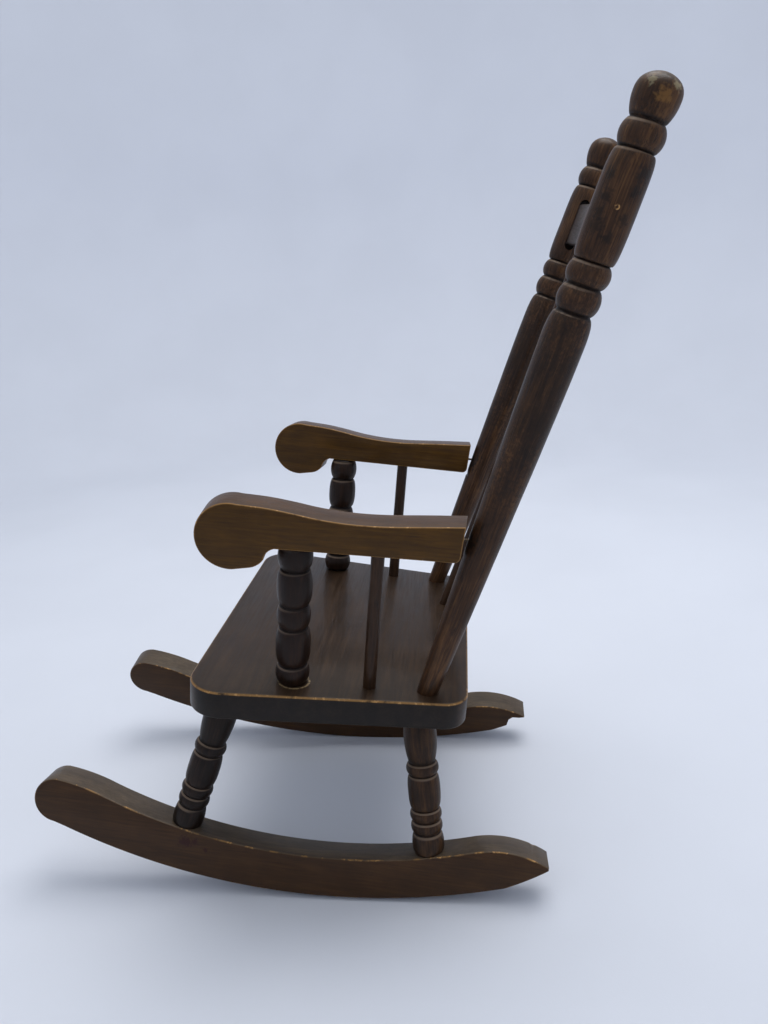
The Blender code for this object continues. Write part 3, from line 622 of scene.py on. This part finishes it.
def seat_outline(steps=16):
    corners = [(SEAT_FRONT_HALF_WIDTH, SEAT_FRONT_Y), (SEAT_REAR_HALF_WIDTH, SEAT_REAR_Y),
               (-SEAT_REAR_HALF_WIDTH, SEAT_REAR_Y), (-SEAT_FRONT_HALF_WIDTH, SEAT_FRONT_Y)]
    radii = [SEAT_FRONT_CORNER, SEAT_REAR_CORNER, SEAT_REAR_CORNER, SEAT_FRONT_CORNER]
    points = []
    for index, corner in enumerate(corners):
        here = Vector(corner)
        before = (Vector(corners[index - 1]) - here).normalized()
        after = (Vector(corners[(index + 1) % 4]) - here).normalized()
        half_angle = before.angle(after) / 2
        radius = radii[index]
        centre = here + (before + after).normalized() * radius / math.sin(half_angle)
        reach = radius / math.tan(half_angle)
        first = here + before * reach - centre
        last = here + after * reach - centre
        start = math.atan2(first.y, first.x)
        sweep = math.remainder(math.atan2(last.y, last.x) - start, 2 * math.pi)
        for step in range(steps + 1):
            angle = start + sweep * step / steps
            points.append((centre.x + radius * math.cos(angle),
                           centre.y + radius * math.sin(angle)))
    return points


def build_seat(material):
    mesh = prism_mesh("seat_board", seat_outline(), -SEAT_THICKNESS, 0.0, "XY", SEAT_RIM)
    rim = rim_rule(2, (0.0,), SEAT_RIM)
    return finish_piece("seat", mesh, Matrix(), material, "seat_board",
                        {"edge": rim})


# ---------------------------------------------------------------- rockers

def runner_height(y):
    offset = y - RUNNER_CENTRE_Y
    return RUNNER_LOWEST_Z + RUNNER_RADIUS - math.sqrt(RUNNER_RADIUS ** 2 - offset ** 2)


def rocker_outline():
    """Outline from the nose, along the underside, round the rear tip and back over the top."""
    mm = MM
    top_front = (-96.0 * mm, -81.6 * mm)
    top_rear = (98.0 * mm, -83.7 * mm)
    tip_top = (134.8 * mm, -87.0 * mm)
    tip_under = (134.8 * mm, -88.6 * mm)
    heel = (114.0 * mm, runner_height(114.0 * mm))
    chin = (-124.0 * mm, runner_height(-124.0 * mm) - 0.3 * mm)
    crown = (-123.5 * mm, -75.0 * mm)
    points = []
    runner_steps = 60
    for step in range(runner_steps):
        y = -118.0 * mm + (heel[0] + 118.0 * mm) * step / runner_steps
        points.append((y, runner_height(y)))
    points += arc(heel, (126.0 * mm, -94.6 * mm), tip_under, 10)
    points += [tip_under]
    points += arc(tip_top, (116.5 * mm, -81.9 * mm), top_rear, 16)
    points += arc(top_rear, (2.0 * mm, -98.8 * mm), top_front, 40)
    points += arc(top_front, (-110.0 * mm, -77.2 * mm), crown, 10)
    points += arc(crown, (-135.0 * mm, -88.2 * mm), chin, 20)
    points.append(chin)
    return points


def splinter(name, corners, low, high):
    """A rough-edged cutter: a prism along X whose far end is a little smaller and shifted."""
    shape = bmesh.new()
    near = [shape.verts.new((low, y * MM, z * MM)) for y, z in corners]
    middle_y = sum(y for y, z in corners) / len(corners)
    middle_z = sum(z for y, z in corners) / len(corners)
    far = [shape.verts.new((high, (middle_y + (y - middle_y) * 0.55) * MM,
                            (middle_z + (z - middle_z) * 0.7) * MM)) for y, z in corners]
    for index in range(len(corners)):
        after = (index + 1) % len(corners)
        shape.faces.new((near[index], near[after], far[after], far[index]))
    shape.faces.new(near)
    shape.faces.new(list(reversed(far)))
    return mesh_from(name, shape)


def rocker_chips(side):
    """What has broken off each rocker's rear tip, in the rocker's own axes."""
    inner = -SIDES[side] * ROCKER_THICKNESS / 2
    if side == "left":
        corners = [(124.5, -80.0), (125.2, -83.9), (127.5, -84.9), (130.5, -84.6), (131.5, -80.0)]
        return [splinter("nick", corners, inner * 1.1, inner * 0.6)]
    corners = [(123.5, -96.0), (124.5, -90.6), (127.0, -88.3), (131.5, -88.1), (134.0, -87.4),
               (138.0, -87.6), (138.0, -97.0)]
    return [splinter("broken_tip", corners, inner * 1.1, -inner * 0.2)]


def build_rocker(side, material):
    name = f"rocker_{side}"
    half = ROCKER_THICKNESS / 2
    mesh = prism_mesh(name, rocker_outline(), -half, half, "YZ", ROCKER_RIM)
    mesh = carve(mesh, [(chip, Matrix()) for chip in rocker_chips(side)])
    rim = rim_rule(0, (-half / MM, half / MM), ROCKER_RIM)
    return finish_piece(f"runner_{side}", mesh, rocker_matrix(side), material, name,
                        {"edge": rim})


# ---------------------------------------------------------------- legs

def leg_profile(length, rise):
    mm = MM
    points = swell(-3.5 * mm, 8.5 * mm + rise, 5.6 * mm, 8.2 * mm, 2.4, 12, top_neck=6.7 * mm)
    points += swell(8.7 * mm + rise, 15.0 * mm + rise, 6.7 * mm, 8.15 * mm, 2.0, 10)
    points += swell(15.2 * mm + rise, 21.3 * mm + rise, 6.7 * mm, 8.25 * mm, 2.0, 10)
    points += swell(21.5 * mm + rise, 39.5 * mm + rise, 6.8 * mm, 8.3 * mm, 2.9, 20)
    points += swell(39.7 * mm + rise, 46.1 * mm + rise, 6.7 * mm, 8.3 * mm, 2.0, 10)
    points += swell(46.3 * mm + rise, length - 4.0 * mm, 6.6 * mm, 8.5 * mm, 2.0, 20,
                    top_neck=5.4 * mm)
    points.append((5.0 * mm, length - 1.0 * mm))
    points.append((5.0 * mm, length + 4.0 * mm))
    return points


def build_leg(which, side, material):
    name = f"leg_{which}_{side}"
    foot_y, foot_z = LEG_FEET[which]
    top = point(*LEG_TOPS[which], side)
    foot = point(foot_y, rocker_centre(side, foot_y), foot_z, side)
    profile = leg_profile((top - foot).length, LEG_RING_RISE[which])
    mesh = spin_mesh(name, profile, wobble=0.02, seed=len(name) * 3.1)
    return finish_piece(f"turned_{name}", mesh, upright_frame(foot, top), material, name,
                        {"groove": groove_rule(7.9, 6.8)})


# ---------------------------------------------------------------- arms

def arm_outline(side):
    mm = MM
    centre_y, centre_z = SCROLL_CENTRE
    scroll_top = (centre_y + 3.0 * mm, centre_z + 15.7 * mm)
    scroll_bottom = (centre_y + 1.0 * mm, centre_z - SCROLL_RADIUS)
    front = (centre_y - SCROLL_RADIUS, centre_z)
    rear = ARM_REAR_Y[side]
    points = arc((-8.4 * mm, ARM_BOTTOM_Z), (-11.2 * mm, 71.4 * mm), (-13.2 * mm, 67.2 * mm), 6)
    points += arc((-13.2 * mm, 67.2 * mm), (-16.3 * mm, 64.1 * mm), (-21.0 * mm, 62.7 * mm), 6)
    points += arc(scroll_bottom, front, scroll_top, 36)
    top = [scroll_top, (-13.0 * mm, 92.4 * mm), (-1.5 * mm, 90.9 * mm), (11.0 * mm, 88.9 * mm),
           (25.0 * mm, 87.8 * mm), (40.0 * mm, 87.9 * mm), (58.0 * mm, 89.2 * mm),
           (rear, 90.5 * mm)]
    points += smooth_run(top, 6)
    points += arc((rear - 0.9 * mm, 75.8 * mm), (rear - 1.6 * mm, 74.0 * mm),
                  (rear - 3.6 * mm, ARM_BOTTOM_Z), 8)
    points.append((rear - 3.6 * mm, ARM_BOTTOM_Z))
    return points


def skew_end(mesh, side):
    """Cuts the arm's rear end askew, and anything made to match it."""
    for corner in mesh.vertices:
        if corner.co.y > 65 * MM:
            corner.co.y -= SIDES[side] * corner.co.x * ARM_END_SKEW
    return mesh


def build_armrest(side, material):
    half = ARM_THICKNESS / 2
    name = f"armrest_{side}"
    mesh = skew_end(prism_mesh(name, arm_outline(side), -half, half, "YZ", ARM_RIM), side)
    rim = rim_rule(0, (-half / MM, half / MM), ARM_RIM)
    return finish_piece(f"arm_{side}", mesh, arm_matrix(side), material, name,
                        {"edge": rim})


def arm_post_profile(length):
    mm = MM
    points = swell(0.2 * mm, 10.5 * mm, 6.3 * mm, 8.2 * mm, 2.1, 14)
    points += swell(10.7 * mm, 30.3 * mm, 6.5 * mm, 8.35 * mm, 2.6, 20)
    points += swell(30.5 * mm, 42.3 * mm, 6.4 * mm, 8.1 * mm, 2.0, 14)
    points += swell(42.5 * mm, 60.7 * mm, 6.4 * mm, 8.35 * mm, 2.6, 20)
    points += swell(60.9 * mm, length - 0.2 * mm, 6.4 * mm, 8.2 * mm, 2.0, 14)
    return points


def build_arm_post(side, material):
    name = f"arm_post_{side}"
    base = point(0.0, ARM_POST_BASE, 0.0, side)
    top = point(0.0, ARM_POST_TOP, ARM_BOTTOM_Z, side)
    mesh = spin_mesh(name, arm_post_profile((top - base).length), wobble=0.02, seed=7.7)
    return finish_piece(f"turned_{name}", mesh, upright_frame(base, top), material, name,
                        {"groove": groove_rule(7.7, 6.8)})


def build_arm_spindle(side, material):
    name = f"arm_spindle_{side}"
    base = point(ARM_SPINDLE_Y, ARM_SPINDLE_BASE, 0.0, side)
    top = point(ARM_SPINDLE_Y, ARM_SPINDLE_TOP, ARM_BOTTOM_Z, side)
    length = (top - base).length
    steps = 20
    profile = [(DOWEL_RADIUS, -DOWEL_IN_HOLE + (length + 2 * DOWEL_IN_HOLE) * step / steps)
               for step in range(steps + 1)]
    mesh = spin_mesh(name, profile, 48, wobble=0.015)
    return finish_piece(f"rod_{name}", mesh, upright_frame(base, top), material, name)


# ---------------------------------------------------------------- back

def back_post_profile():
    mm = MM
    shaft = [(4.95, -4.0), (5.05, 0.0), (6.3, 40.0), (7.7, 92.0), (8.95, 142.0), (9.4, 173.0),
             (9.2, 182.0), (8.4, 186.7), (7.1, 188.7)]
    points = smooth_run([(radius * mm, height * mm) for radius, height in shaft], 6)
    points += swell(188.9 * mm, 199.7 * mm, 7.0 * mm, 9.15 * mm, 2.0, 14)
    points += swell(199.9 * mm, 209.4 * mm, 7.0 * mm, 9.15 * mm, 2.0, 14)
    points += swell(209.6 * mm, 251.7 * mm, 7.2 * mm, 9.25 * mm, 4.4, 24, top_neck=6.9 * mm)
    points += swell(251.9 * mm, 262.5 * mm, 6.9 * mm, 9.15 * mm, 2.0, 14)
    points += swell(262.8 * mm, 279.6 * mm, 6.9 * mm, 9.3 * mm, 2.4, 24, top_neck=1.0 * mm)
    return points


def build_back_post(side, material):
    """The turned post, cut to stay clear of its arm's end, with a mortise for the crest rail."""
    name = f"back_post_{side}"
    base, up = back_post_axis(side)
    place = upright_frame(base, base + up)
    away = place.inverted()
    half = ARM_THICKNESS / 2 + NOTCH_SIDE_GAP
    end = ARM_REAR_Y[side] + NOTCH_END_GAP
    front = end - 10 * MM
    low, high = 71 * MM, 92 * MM
    notch = [(front, low), (end, low), (end, high), (front, high)]
    notch_mesh = skew_end(prism_mesh("notch", notch, -half, half), side)
    radius = CREST_THICKNESS / 2 + MORTISE_EASE
    straight = MORTISE_LENGTH / 2 - radius
    slot = []
    for centre, start in ((straight, 0.0), (-straight, math.pi)):
        for step in range(17):
            angle = start + math.pi * step / 16
            slot.append((radius * math.cos(angle), centre + radius * math.sin(angle)))
    inward = -SIDES[side]
    near, far = sorted(inward * reach for reach in MORTISE_REACH)
    half_span = CREST_SPAN / 2
    slot_place = CREST_PLACE @ Matrix.Translation((-inward * half_span, crest_bow(half_span), 0))
    mesh = spin_mesh(name, back_post_profile(), wobble=0.012, seed=3.3 * SIDES[side])
    mesh = carve(mesh, [(notch_mesh, away @ arm_matrix(side)),
                        (prism_mesh("mortise", slot, near, far), away @ slot_place)])
    beads = groove_rule(8.6, 7.3, lowest=187.5, highest=270.0)
    return finish_piece(f"turned_{name}", mesh, place, material, name,
                        {"groove": beads})


def build_crest_rail(material):
    """A bowed slat: its section is a rounded rectangle, swept across from post to post."""
    half = CREST_SPAN / 2 - 4.6 * MM
    steps, around = 48, 24
    shape = bmesh.new()
    rows = []
    for step in range(steps + 1):
        x = -half + 2 * half * step / steps
        y = crest_bow(x)
        ring = []
        for step_round in range(around):
            angle = 2 * math.pi * (step_round + 0.5) / around
            side_y = math.copysign(abs(math.cos(angle)) ** 0.25, math.cos(angle))
            side_z = math.copysign(abs(math.sin(angle)) ** 0.10, math.sin(angle))
            ring.append(shape.verts.new((x, y + side_y * CREST_THICKNESS / 2,
                                         side_z * CREST_HEIGHT / 2)))
        rows.append(ring)
    for row, following in zip(rows, rows[1:]):
        for index in range(around):
            after = (index + 1) % around
            shape.faces.new((row[index], row[after], following[after], following[index]))
    shape.faces.new(rows[0])
    shape.faces.new(list(reversed(rows[-1])))
    mesh = mesh_from("crest_rail", shape)
    return finish_piece("crest_slat", mesh, CREST_PLACE, material, "crest_rail")


def build_back_spindles():
    names = ("back_spindle_right", "back_spindle_middle", "back_spindle_left")
    for index, name in enumerate(names):
        across = (index - 1) * BACK_SPINDLE_PITCH
        base = Vector((across, BACK_POST_Y + bow(across, BACK_POST_BASE, SPINDLE_ROW_BOW), 0))
        x = across * CREST_SPAN / 2 / BACK_POST_BASE
        top = CREST_PLACE @ Vector((x, crest_bow(x), -CREST_HEIGHT / 2))
        length = (top - base).length
        low, high = -DOWEL_IN_HOLE, length - 0.2 * MM
        steps = 30
        profile = [(DOWEL_RADIUS, low + (high - low) * step / steps) for step in range(steps + 1)]
        mesh = spin_mesh(name, profile, 48, wobble=0.015, seed=index * 5.0)
        stain = stained_wood(f"{name}_stain", 31.0 + index, 2, DOWEL_TONES, contrast=0.7)
        finish_piece(f"rod_{name}", mesh, upright_frame(base, top), stain, name)


# ---------------------------------------------------------------- stage

def build_stage():
    """A wide round floor that sweeps up into a low wall on every side."""
    flat, sweep, top, steps = 0.9, 0.5, 1.1, 24
    profile = [(flat, 0.0)]
    for step in range(1, steps + 1):
        angle = math.pi / 2 * step / steps
        profile.append((flat + sweep * math.sin(angle), sweep - sweep * math.cos(angle)))
    profile.append((flat + sweep, top))
    around = 96
    shape = bmesh.new()
    rings = []
    for radius, height in profile:
        rings.append([shape.verts.new((radius * math.cos(2 * math.pi * step / around),
                                       radius * math.sin(2 * math.pi * step / around), height))
                      for step in range(around)])
    shape.faces.new(rings[0])
    for ring, following in zip(rings, rings[1:]):
        for step in range(around):
            after = (step + 1) % around
            shape.faces.new((ring[step], ring[after], following[after], following[step]))
    bmesh.ops.recalc_face_normals(shape, faces=shape.faces)
    if shape.faces[0].normal.z < 0:
        bmesh.ops.reverse_faces(shape, faces=shape.faces)
    mesh = bpy.data.meshes.new("floor")
    shape.to_mesh(mesh)
    shape.free()
    mesh.shade_smooth()
    floor = bpy.data.objects.new("floor", mesh)
    bpy.context.scene.collection.objects.link(floor)
    mesh.materials.append(pale_paper())


def area_light(name, place, target, size, power, colour):
    data = bpy.data.lights.new(name, "AREA")
    data.shape = "RECTANGLE"
    data.size, data.size_y = size
    data.energy = power
    data.color = colour
    lamp = bpy.data.objects.new(name, data)
    bpy.context.scene.collection.objects.link(lamp)
    lamp.location = place
    aim = (Vector(target) - Vector(place)).to_track_quat("-Z", "Y")
    lamp.rotation_mode = "QUATERNION"
    lamp.rotation_quaternion = aim


def build_lights():
    """Even pale-blue light from all round, with a broad soft light overhead."""
    bpy.context.scene.view_settings.view_transform = "Standard"
    world = bpy.data.worlds.new("studio")
    bpy.context.scene.world = world
    world.use_nodes = True
    background = world.node_tree.nodes["Background"]
    background.inputs["Color"].default_value = (0.92, 0.96, 1.0, 1.0)
    background.inputs["Strength"].default_value = 0.75
    area_light("overhead", (-0.2, 0.2, 1.3), (0, 0, 0.1), (0.9, 0.9), 10.0, (1.0, 0.99, 0.97))


# Camera: its place in seat axes, its focal length in picture heights, and its three turns
CAMERA_PLACE = Vector((430.9, 63.39, 203.47)) * MM
CAMERA_FOCAL = 830.0 / 1024.0
CAMERA_YAW = math.radians(3.985)
CAMERA_PITCH = math.radians(17.676)
CAMERA_ROLL = math.radians(4.188)
SENSOR = 36.0


def build_camera():
    """A hand-held view of the chair's left side, from slightly behind and above the arms."""
    level = Vector((-math.cos(CAMERA_YAW), -math.sin(CAMERA_YAW), 0))
    right = Vector((-math.sin(CAMERA_YAW), math.cos(CAMERA_YAW), 0))
    up = Vector((0, 0, 1))
    ahead = level * math.cos(CAMERA_PITCH) - up * math.sin(CAMERA_PITCH)
    over = up * math.cos(CAMERA_PITCH) + level * math.sin(CAMERA_PITCH)
    rolled_right = right * math.cos(CAMERA_ROLL) + over * math.sin(CAMERA_ROLL)
    rolled_over = over * math.cos(CAMERA_ROLL) - right * math.sin(CAMERA_ROLL)
    turn = Matrix((rolled_right, rolled_over, -ahead)).transposed().to_4x4()
    data = bpy.data.cameras.new("camera")
    data.sensor_width = SENSOR
    data.lens = CAMERA_FOCAL * SENSOR
    data.clip_start = 0.01
    camera = bpy.data.objects.new("camera", data)
    bpy.context.scene.collection.objects.link(camera)
    camera.matrix_world = REST @ Matrix.Translation(CAMERA_PLACE) @ turn
    bpy.context.scene.camera = camera


def build_boards():
    """The seat, the crest rail, the rockers and the arms, each with its own grain and marks."""
    post_foot = (ARM_POST_BASE / MM + 0.6, 1.0, 0.0)
    build_seat(stained_wood("seat_stain", 1.0, 0, SEAT_TONES, END_GRAIN_TONES, wear=1.0, pores=0.2,
                            gloss=0.16, contrast=0.75, rings=[(post_foot, 7.4, 0.8, GLUE)]))
    build_crest_rail(stained_wood("rail_stain_and_sheen", 2.0, 0, RAIL_TONES_WITH_SHEEN, wear=0.3))
    outer = ROCKER_THICKNESS / 2 / MM
    left_marks = [((outer, -52.0, -100.0), 3.4, RED_STAIN, 0.85),
                  ((outer, -47.0, -99.5), 2.4, RED_STAIN, 0.85),
                  ((outer, -41.0, -103.0), 1.3, RED_STAIN, 0.8)]
    right_marks = [((outer, 128.0, -91.0), 2.6, BARE_WOOD_AND_HIGHLIGHT, 0.9)]
    for side, marks in (("left", left_marks), ("right", right_marks)):
        seed = 4.0 + SIDES[side]
        # The rockers' and arms' main tones have a painted grey sheen
        build_rocker(side, stained_wood(f"rocker_stain_and_sheen_{side}", seed, 1, ROCKER_TONES_WITH_SHEEN,
                                        ROCKER_SIDE_TONES, wear=0.4, pores=0.25,
                                        contrast=0.6, blots=marks))
        build_armrest(side, stained_wood(f"arm_stain_and_sheen_{side}", seed + 3.5, 1, ARM_TONES_WITH_SHEEN,
                                         ARM_SIDE_TONES, wear=1.1, pores=0.3,
                                         contrast=0.7))


def build_turned(side, seed):
    """The turned and plain round pieces on one side of the chair.

    Places of marks are in each piece's own millimetres, measured up its axis from the seat.
    """
    for index, which in enumerate(LEG_TOPS):
        leg_stain = stained_wood(f"leg_stain_{which}_{side}", seed + index, 2, LEG_TONES[which],
                                 pores=0.4, gloss=0.1, contrast=0.9, groove_darkness=0.6)
        build_leg(which, side, leg_stain)
    build_arm_post(side, stained_wood(f"arm_post_stain_{side}", seed + 3, 2, TURNED_TONES,
                                      pores=0.3, gloss=0.1, contrast=0.6, groove_darkness=0.6))
    build_arm_spindle(side, stained_wood(f"spindle_stain_{side}", seed + 4, 2, DOWEL_TONES,
                                         contrast=0.7))
    # The second blot is painted shade on each post's front, where its arm's end meets it
    marks = [((0.0, 0.0, 150.0), 46.0, SMUDGE, 0.6), ((0.0, -8.0, 83.0), 7.5, GRIME_AND_SHADE, 0.9)]
    rings = []
    if side == "left":
        smudges = [((7.6, 5.1, 244.5), 3.2), ((7.6, -5.0, 222.0), 3.2), ((7.0, -5.5, 227.0), 3.0),
                   ((7.0, -5.5, 233.5), 3.0), ((8.4, 3.9, 226.8), 2.6), ((8.2, 4.2, 238.0), 2.6),
                   ((9.2, 0.5, 219.0), 2.6), ((6.0, -7.0, 241.0), 2.6)]
        marks += [(place, reach, SMUDGE, 0.7) for place, reach in smudges]
        # The two pale spots are painted highlights on the ball
        marks += [((9.0, 1.0, 271.0), 3.2, RUBBED_STAIN, 0.6),
                  ((6.4, 4.6, 275.5), 2.0, PAINTED_HIGHLIGHT, 0.4),
                  ((7.0, -4.5, 274.5), 1.8, PAINTED_HIGHLIGHT, 0.3)]
        # A painted highlight: a pale broken ring round the brad's end
        rings = [((9.25, -0.3, 230.8), 0.8, 0.4, BARE_WOOD_AND_HIGHLIGHT)]
    build_back_post(side, stained_wood(f"back_post_stain_{side}", seed + 5, 2, POST_TONES,
                                       pores=0.7, contrast=0.8, blots=marks, rings=rings))


def main():
    build_camera()
    build_lights()
    build_stage()
    build_boards()
    build_turned("left", 11.0)
    build_turned("right", 23.0)
    build_back_spindles()
    steel = brad_steel()
    for side in SIDES:
        for node in (f"crest_brad_{side}", f"arm_nail_{side}"):
            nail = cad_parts[node]
            nail.data.materials.clear()
            nail.data.materials.append(steel)


main()
